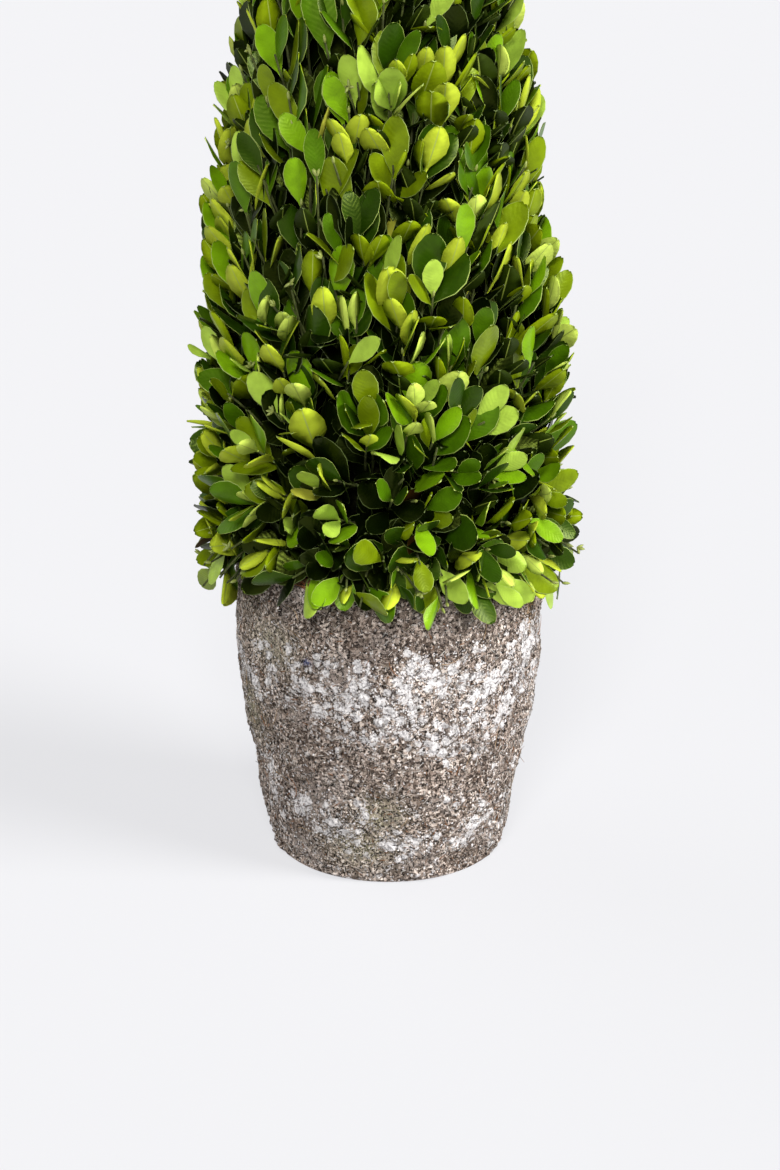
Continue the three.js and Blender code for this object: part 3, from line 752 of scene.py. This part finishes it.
def makeBuds(s):
    # pointed buds: one at the tip of some sprigs, and knots of five on some of the clipped ones
    rng = np.random.default_rng(crown["seed"] + 12)
    tip = alongSprig(s, s["length"][:, None])[:, 0]
    single = np.flatnonzero(s["kept"] & ~s["clipped"] & (rng.uniform(size=len(tip)) < buds["tipShare"]))
    knotted = np.flatnonzero(s["kept"] & s["clipped"] & (rng.uniform(size=len(tip)) < buds["knotShare"]))
    owner = np.concatenate([single, np.repeat(knotted, buds["knot"])])
    inKnot = (np.arange(len(owner)) >= len(single))[:, None]
    way = s["way"][owner] + rng.normal(0, buds["splay"], (len(owner), 3)) * inKnot
    start = tip[owner] + s["way"][owner] * np.where(inKnot, 0.003, 0.0)
    paths = start[:, None] + unit(way)[:, None] * np.array(buds["along"])[:, None]
    thick = np.broadcast_to(buds["radii"], paths.shape[:2])
    points, faces = tubes(paths, thick, 6)
    f = Finish("bud", buds["color"], 0.5)
    finish = f.wear(f.mix(f.noise(900, 2, 0.5), buds["dark"], buds["pale"]))
    place(meshFrom("buds", points, faces, [finish]), "foliage")


# the leaves: opposite pairs along each sprig, the newest pair at its tip
leaf = dict(
    lengths=(0.0185, 0.0225, 0.0240, 0.0240, 0.0235, 0.0215), spreads=(14, 18, 22, 26, 29, 32), rimSpread=1.7,
    scaleHeights=(0.150, 0.230), scales=(0.88, 1.08), widths=(0.53, 0.455), thickness=0.00042,
    stations=(0, 0.12, 0.30, 0.50, 0.70, 0.86, 0.955, 1.0),
    upperColumns=(-1, -0.95, -0.45, 0, 0.45, 0.95, 1), lowerColumns=(-1, -0.045, 0.045, 1),
    # middle and spread of what differs from leaf to leaf
    cup=(-0.17, 0.18), curl=(0.07, 0.09), twist=(0, 0.16), lean=(0, 0.06), roll=(0, 0.22), shown=0.96,
    overlap=0.15, seenDepth=0.013, neighbours=0.024, pieceTriangles=190000,
)
# from the inside out to the newest leaves, with the shade at which each colour ends; the first, near-black
# colour is painted shade for leaves deep in the crown
bladeColors = (
    (0.0012, 0.003, 0.0002), (0.014, 0.039, 0.0007), (0.047, 0.112, 0.0011),
    (0.126, 0.178, 0.002), (0.135, 0.264, 0.003), (0.290, 0.420, 0.045),
)
bladeShades = (0.08, 0.30, 0.50, 0.68, 0.86)
# undersides: the first, near-black colour is painted shade for leaves deep in the crown; the paler ones are
# the underside's own colour, lightened further as painted light shining through the leaf
undersideColors = ((0.012, 0.022, 0.001), (0.180, 0.246, 0.002), (0.385, 0.465, 0.026), (0.500, 0.620, 0.092))
undersideShades = (0.08, 0.40, 0.77)
# a leaf's tone: random unevenness and the brighter newest leaves are their own colour; the darkening per pair
# down the sprig is partly the older leaves' own darker green and partly painted shade; the darkening between
# two depths inside the crown is painted shade
leafShade = dict(uneven=0.15, newest=0.12, least=0.12, olderAndShaded=0.07, inside=0.9, paintedShadeDepths=(0.0105, 0.0235))
leafTrim = dict(
    margin=(0.28, 0.36, 0.07), shadedMargin=(0.085, 0.120, 0.022), shadedBelow=0.10,
    midrib=(0.28, 0.35, 0.05), brown=(0.040, 0.017, 0.004), brownShare=0.003,
    yellow=(0.33, 0.33, 0.035), yellowShare=0.004,
)


def bladeFinish(name, color, roughness, coat):
    # a leaf's upper face: faint mottling, and a waxy gloss over a gently quilted surface
    f = Finish(name, color, roughness, 0.32, coat, 0.25)
    f.plug(f.shader, "Specular Tint", (0.76, 1.0, 0.14, 1))
    quilt = f.noise(320, 2, 0.5)
    color = f.mix(f.noise(140, 2, 0.5).above(0.3, 0.7), toned(color, 0.80), toned(color, 1.16))
    return f.wear(color, roughness - 0.08 + quilt * 0.16, quilt + f.sideVeins() * 0.09, 0.0004, 0.40)


def undersideFinish(name, color, specular=0.20):
    f = Finish(name, color, 0.55, specular)
    f.plug(f.shader, "Specular Tint", (0.76, 1.0, 0.20, 1))
    color = f.mix(f.noise(180, 2, 0.5).above(0.3, 0.7), toned(color, 0.86), toned(color, 1.10))
    return f.wear(color, None, f.noise(420, 2, 0.6) + f.sideVeins() * 0.10, 0.0003, 0.35)


def leafTemplate():
    # faces of one leaf: upper rows by columns, lower rows by columns, joined along the margin
    rows, upper, lower = len(leaf["stations"]), len(leaf["upperColumns"]), len(leaf["lowerColumns"])
    top = np.arange(rows * upper).reshape(rows, upper)
    under = rows * upper + np.arange(rows * (lower - 2)).reshape(rows, lower - 2)
    under = np.concatenate([top[:, :1], under, top[:, -1:]], 1)
    topFaces, underFaces = [
        np.stack([g[:-1, :-1], g[1:, :-1], g[1:, 1:], g[:-1, 1:]], -1).reshape(-1, 4) for g in (top, under)]
    # kinds of face: 0 blade, 1 margin, 2 midrib, 3 underside
    kinds = np.concatenate([np.tile([1, 0, 0, 0, 0, 1], rows - 1), np.tile([3, 2, 3], rows - 1)])
    root = np.concatenate([top[0], under[0, 1:-1][::-1]])
    tip = np.concatenate([top[-1][::-1], under[-1, 1:-1]])
    return np.concatenate([topFaces[:, ::-1], underFaces]), kinds, root, tip


def leafPoints(size, width, cup, curl, twist, lean):
    # x runs to the tip, y across: half width is sin(pi t^1.45)^(0.95 - 0.45 t) of the widest, with a short
    # stalk; the blade cups as y^2, curls back as t^2 and creases in the middle; below, it bulges as 1 - v^2
    size, width, cup, curl, twist, lean = [a[:, None, None] for a in (size, width, cup, curl, twist, lean)]
    t = np.array(leaf["stations"])
    halfShape = np.clip(np.sin(pi * t ** 1.45), 0, None) ** (0.95 - 0.45 * t)
    halfShape = np.maximum(halfShape, np.where(t < 0.5, 0.08, 0.16))
    sets = []
    for columns, isTop in ((leaf["upperColumns"], True), (leaf["lowerColumns"][1:-1], False)):
        v = np.array(columns)
        widest = 0.5 * width * size
        half = widest * halfShape[:, None]
        y = half * v
        x = size * (t[:, None] - 0.018 * (t == 1)[:, None] * (1 - np.abs(v)) ** 2)
        z = cup * y ** 2 / widest - curl * size * (t ** 2)[:, None]
        z = z - 0.045 * half * np.exp(-(v / 0.3) ** 2) + lean * y * t[:, None]
        if not isTop:
            z = z - leaf["thickness"] * (1 - v ** 2) * (0.5 + np.minimum(1, 4 * t))[:, None]
        angle = twist * t[:, None]
        y, z = y * np.cos(angle) - z * np.sin(angle), y * np.sin(angle) + z * np.cos(angle)
        sets.append(np.stack([x + 0 * y, y, z], -1).reshape(len(size), -1, 3))
    return np.concatenate(sets, 1)


def leafReach(points):
    # the leaves keep a little inside the crown's outline, more so from a third of its height on
    z = points[..., 2]
    return crownRadius(z) - 0.0008 - 0.0030 * smoothStep(0.210, 0.270, z) + bumps(points)


def crossed(blades, here, starts, ends):
    # which segments from starts to ends pass through each blade near the crown's surface
    middle, normal, along, across = [blades[key][here] for key in ("middle", "normal", "along", "across")]
    way = ends - starts
    rise = (middle * normal).sum(1)[:, None] - normal @ starts.T
    fall = normal @ way.T
    part = rise / np.where(np.abs(fall) < 1e-9, 1e-9, fall)
    rows, lines = np.nonzero((part > 0) & (part < 1))
    at = starts[lines] + way[lines] * part[rows, lines][:, None]
    hit = at - middle[rows]
    u = (hit * along[rows]).sum(1) / (along[rows] ** 2).sum(1)
    v = (hit * across[rows]).sum(1) / (across[rows] ** 2).sum(1)
    found = np.zeros(part.shape, bool)
    found[rows, lines] = (u ** 2 + v ** 2 < leaf["overlap"]) & (depthOf(at) < leaf["seenDepth"])
    return found


def clearOfNeighbours(points, owner, s):
    # from the outside in, a blade stays if no other sprig's twig or kept blade shows through it
    rows, upper = len(leaf["stations"]), len(leaf["upperColumns"])
    root, tip = points[:, upper // 2], points[:, (rows - 1) * upper + upper // 2]
    near, far = points[:, (rows // 2) * upper], points[:, (rows // 2) * upper + upper - 1]
    blades = dict(middle=0.25 * (root + tip + near + far), along=tip - root, across=far - near)
    blades["normal"] = unit(np.cross(blades["along"], blades["across"]))
    height = blades["middle"][:, 2]
    twigs = np.flatnonzero(s["kept"])
    twigPlaces = np.stack([s["length"] - 0.016, s["length"] - 0.006, s["end"]], 1)
    twigPath = alongSprig(s, twigPlaces)[twigs]
    count = len(points)
    crossing, pierced = np.zeros((count, count), bool), np.zeros(count, bool)
    for here in np.array_split(np.argsort(height), count // 40):
        low, high = height[here].min() - leaf["neighbours"], height[here].max() + leaf["neighbours"]
        close = np.flatnonzero((height > low) & (height < high))
        closeTwigs = np.flatnonzero((twigPath[:, 1, 2] > low) & (twigPath[:, 1, 2] < high))
        foreign = owner[here, None] != twigs[closeTwigs][None]
        for k in range(2):
            hit = crossed(blades, here, twigPath[closeTwigs, k], twigPath[closeTwigs, k + 1])
            pierced[here] |= (hit & foreign).any(1)
        for first, last in ((root, tip), (near, tip), (far, tip), (near, far)):
            crossing[np.ix_(here, close)] |= crossed(blades, here, first[close], last[close])
    crossing &= owner[:, None] != owner[None]
    crossing |= crossing.T
    keep = np.zeros(count, bool)
    for i in np.argsort(depthOf(blades["middle"])):
        keep[i] = not pierced[i] and not (crossing[i] & keep).any()
    print("blades grown:", count, "pierced:", pierced.sum(), "kept:", keep.sum())
    return keep


def aimLeaves(s, rng, distance, shape):
    # each pair a quarter turn from the last, each blade off its twig by its spread; every blade then rolls
    # about its own length, some of the way to lying flat against the crown's surface
    order = np.arange(shape[1])
    node = alongSprig(s, distance)
    ahead = unit(alongSprig(s, distance + 0.0005) - node)
    level = unit(np.cross(upward + 0.01, ahead))
    other = np.cross(ahead, level)
    turn = s["turn"][:, None, None] + order[:, None] * pi / 2 + [0, pi]
    turn = turn + rng.normal(*leaf["roll"], shape)
    side = swung(level[:, :, None], other[:, :, None], turn)
    nearRim = smoothStep(0.185, 0.150, s["root"][:, 2])[:, None, None]
    spread = np.radians(leaf["spreads"])[:, None] * (1 + (leaf["rimSpread"] - 1) * nearRim)
    spread = spread * rng.normal(1, 0.22, shape) + np.where(s["clipped"][:, None, None], 0.09, 0)
    way = swung(ahead[:, :, None], side, spread)
    face = swung(-side, ahead[:, :, None], spread)
    outward = unit(node * (1, 1, 0))[:, :, None] + rng.normal(0, 0.22, (*shape, 3))
    flat = unit(outward - (outward * way).sum(-1, keepdims=True) * way)
    flat = flat * np.where((flat * face).sum(-1, keepdims=True) < 0, -1, 1)
    face = unit(face + flat * (s["lie"][:, None, None] * rng.uniform(0.7, 1.3, shape))[..., None])
    return node, way, np.cross(face, way), face


def growLeaves(s):
    rng = np.random.default_rng(crown["seed"] + 7)
    shape = (sprig["count"], sprig["pairs"], 2)
    # the gaps between pairs widen a little down the sprig
    gap = sprig["internode"] * (0.8 + 0.12 * np.arange(sprig["pairs"]))
    fromTip = sprig["tipGap"] + np.concatenate([[0], np.cumsum(gap)[:-1]])
    distance = s["length"][:, None] - fromTip * s["vigour"][:, None]
    node, way, across, face = aimLeaves(s, rng, distance, shape)
    size = np.array(leaf["lengths"])[:, None] * s["vigour"][:, None, None] * rng.normal(1, 0.10, shape)
    scale, width = [np.interp(node[..., 2:], leaf["scaleHeights"], leaf[key]) for key in ("scales", "widths")]
    size = np.clip(size * scale, 0.010, 0.030)
    width = np.clip(width + rng.normal(0, 0.05, shape), 0.36, 0.66)
    cup, curl, twist, lean = [rng.normal(*leaf[key], shape) for key in ("cup", "curl", "twist", "lean")]
    cup = np.clip(cup, -0.55, 0.18)
    there = np.broadcast_to((distance > -0.006)[..., None], shape).copy()
    there &= s["kept"][:, None, None] & (rng.uniform(size=shape) < leaf["shown"])
    owner, pair, _ = np.nonzero(there)
    local = leafPoints(*[a[there] for a in (size, width, cup, curl, twist, lean)])
    base = node[owner, pair]
    points = base[:, None] + (
        local[..., :1] * way[there][:, None] + local[..., 1:2] * across[there][:, None]
        + local[..., 2:] * face[there][:, None])
    # brighter where new; darker down the sprig, partly the older leaves' own colour and partly painted shade;
    # darker with depth inside the crown as painted shade
    young = (pair < 1) & ~s["clipped"][owner]
    shade = s["shade"][owner] + rng.normal(0, leafShade["uneven"], len(pair))
    shade = np.clip(shade + leafShade["newest"] * young, leafShade["least"], 1)
    shade = shade - leafShade["olderAndShaded"] * np.maximum(0, pair - 1)
    # painted shade: the deeper a leaf lies inside the crown, the darker the colour it takes
    shade = shade - leafShade["inside"] * smoothStep(*leafShade["paintedShadeDepths"], depthOf(points).mean(1))
    # inside the outline, clear of the pot, not wholly inside the core and above the ragged lower edge
    radius = fromAxis(points)
    fits = outsidePot(points).all(1) & (radius < leafReach(points)).all(1)
    fits &= (radius > coreRadius(points[..., 2]) - 0.007).any(1) & (points[..., 2] < crown["top"]).all(1)
    fits &= (points[..., 2] > fringe(points) + 0.005 * rng.uniform(-1, 0.6, len(points))[:, None]).all(1)
    points, shade, base = points[fits], shade[fits], base[fits]
    keep = clearOfNeighbours(points, owner[fits], s)
    return points[keep], shade[keep], base[keep, 2]


def leafFinishes(shade):
    # the finishes, and for each leaf the numbers of its blade, margin, midrib and underside among them
    finishes = []
    for i, color in enumerate(bladeColors):  # the most shaded one has no coat
        finishes.append(bladeFinish(f"blade{i}", color, 0.32 + 0.03 * (i % 3), 0.10 if i else 0.0))
    finishes += [undersideFinish(f"underside{i}", color) for i, color in enumerate(undersideColors)]
    marginSlot, midribSlot, brownSlot, yellowSlot, shadedSlot = np.arange(5) + len(finishes)
    finishes += [
        Finish("paleMargin", leafTrim["margin"], 0.45).material,
        Finish("midrib", leafTrim["midrib"], 0.5).material,
        undersideFinish("brownLeaf", leafTrim["brown"], 0.08),
        undersideFinish("yellowLeaf", leafTrim["yellow"]),
        Finish("shadedMargin", leafTrim["shadedMargin"], 0.5).material]
    rank = np.clip(shade, 0, 0.999)
    margin = np.where(rank < leafTrim["shadedBelow"], shadedSlot, marginSlot)
    blade = np.searchsorted(bladeShades, rank)
    under = len(bladeColors) + np.searchsorted(undersideShades, rank)
    rare = np.random.default_rng(crown["seed"] + 9).uniform(size=len(shade))
    brown = rare < leafTrim["brownShare"]
    yellow = ~brown & (rare < leafTrim["brownShare"] + leafTrim["yellowShare"])
    for faded, slot in ((brown, brownSlot), (yellow, yellowSlot)):
        blade[faded] = under[faded] = slot
    return finishes, np.stack([blade, margin, np.full(len(shade), midribSlot), under], 1)


def makeLeaves(s):
    points, shade, height = growLeaves(s)
    faces, kinds, rootFace, tipFace = leafTemplate()
    finishes, dealt = leafFinishes(shade)
    t, upper, lower = np.array(leaf["stations"]), leaf["upperColumns"], leaf["lowerColumns"][1:-1]
    along = np.concatenate([np.repeat(t, len(upper)), np.repeat(t, len(lower))])
    across = np.concatenate([np.tile(upper, len(t)), np.tile(lower, len(t))])
    tier = np.searchsorted(crown["tiers"], height)
    perPiece = leaf["pieceTriangles"] // (2 * len(faces) + 20)
    for index, (name, node) in enumerate((
            ("leavesLower", "foliage_lower_tier"), ("leavesMiddle", "foliage_middle_tier"),
            ("leavesTop", "foliage_top_tier"))):
        own = np.flatnonzero(tier == index)
        for number, part in enumerate(np.array_split(own, ceil(len(own) / perPiece))):
            offset = (np.arange(len(part)) * points.shape[1])[:, None, None]
            quads = (faces[None] + offset).reshape(-1, 4)
            ends = [f[None] + offset[:, 0] for f in (rootFace, tipFace)]
            slots = np.concatenate([dealt[part][:, kinds].ravel(), np.tile(dealt[part, 1], 2)])
            places = dict(along=np.tile(along, len(part)), across=np.tile(across, len(part)))
            corners = points[part].reshape(-1, 3)
            piece = meshFrom(f"{name}{number + 1}", corners, [quads, *ends], finishes, slots, places)
            place(piece, "foliage", node)


# camera, light and floor; two pixels of the frame say where the pot's axis and the origin appear in it
cameraSet = dict(
    elevation=20.7, distance=1.30, pixel=0.000415, sensor=36,
    frameWide=780, frameTall=1170, axisPixel=388.7, originPixel=842.0,
)
studio = dict(
    floorSize=14.0, floorColor=(0.17, 0.17, 0.172), glow=(0.97, 0.97, 1.0, 1), glowStrength=0.648,
    sky=(0.97, 0.975, 1.0, 1), skyStrength=0.12,
    # name, azimuth in degrees round from the camera to the right, elevation, strength, softness in degrees
    suns=(("key", 66, 30, 4.8, 28), ("front", -4, 38, 2.9, 18), ("back", -118, 32, 0.85, 55)),
)


def setCamera():
    c = cameraSet
    data = bpy.data.cameras.new("camera")
    data.sensor_width = c["sensor"]
    data.lens = c["distance"] / (c["pixel"] * c["frameTall"]) * data.sensor_width
    camera = added("camera", data)
    e = radians(c["elevation"])
    targetZ = (c["originPixel"] - c["frameTall"] / 2) * c["pixel"] / cos(e)
    targetX = (c["frameWide"] / 2 - c["axisPixel"]) * c["pixel"]
    camera.location = (targetX, -c["distance"] * cos(e), targetZ + c["distance"] * sin(e))
    camera.rotation_euler = (pi / 2 - e, 0, 0)
    bpy.context.scene.camera = camera


def setStudio():
    f = Finish("studioFloor", studio["floorColor"], 0.9, 0.1)
    f.plug(f.shader, "Emission Color", studio["glow"])
    f.plug(f.shader, "Emission Strength", studio["glowStrength"])
    corners = np.array([[-1, -1, 0], [1, -1, 0], [1, 1, 0], [-1, 1, 0]]) * studio["floorSize"]
    floor = meshFrom("floor", corners, [np.array([[0, 1, 2, 3]])], [f.material])
    world = bpy.data.worlds.new("studio")
    world.use_nodes = True
    background = world.node_tree.nodes["Background"]
    background.inputs["Color"].default_value = studio["sky"]
    background.inputs["Strength"].default_value = studio["skyStrength"]
    bpy.context.scene.world = world
    for name, azimuth, elevation, strength, softness in studio["suns"]:
        data = bpy.data.lights.new(name, "SUN")
        data.energy, data.angle = strength, radians(softness)
        added(name, data).rotation_euler = (radians(90 - elevation), 0, radians(azimuth))
    view = bpy.context.scene.view_settings
    view.view_transform, view.look, view.exposure, view.gamma = "Standard", "None", 0.0, 1.0


setCamera()
setStudio()
print("camera and studio set")
makePot()
makePotBits()
makePotStrands()
makeFill()
makeFillStrands()
makeStem()
makeCore()
sprigs = growSprigs()
makeTwigs(sprigs)
makeLeaves(sprigs)
makeBuds(sprigs)
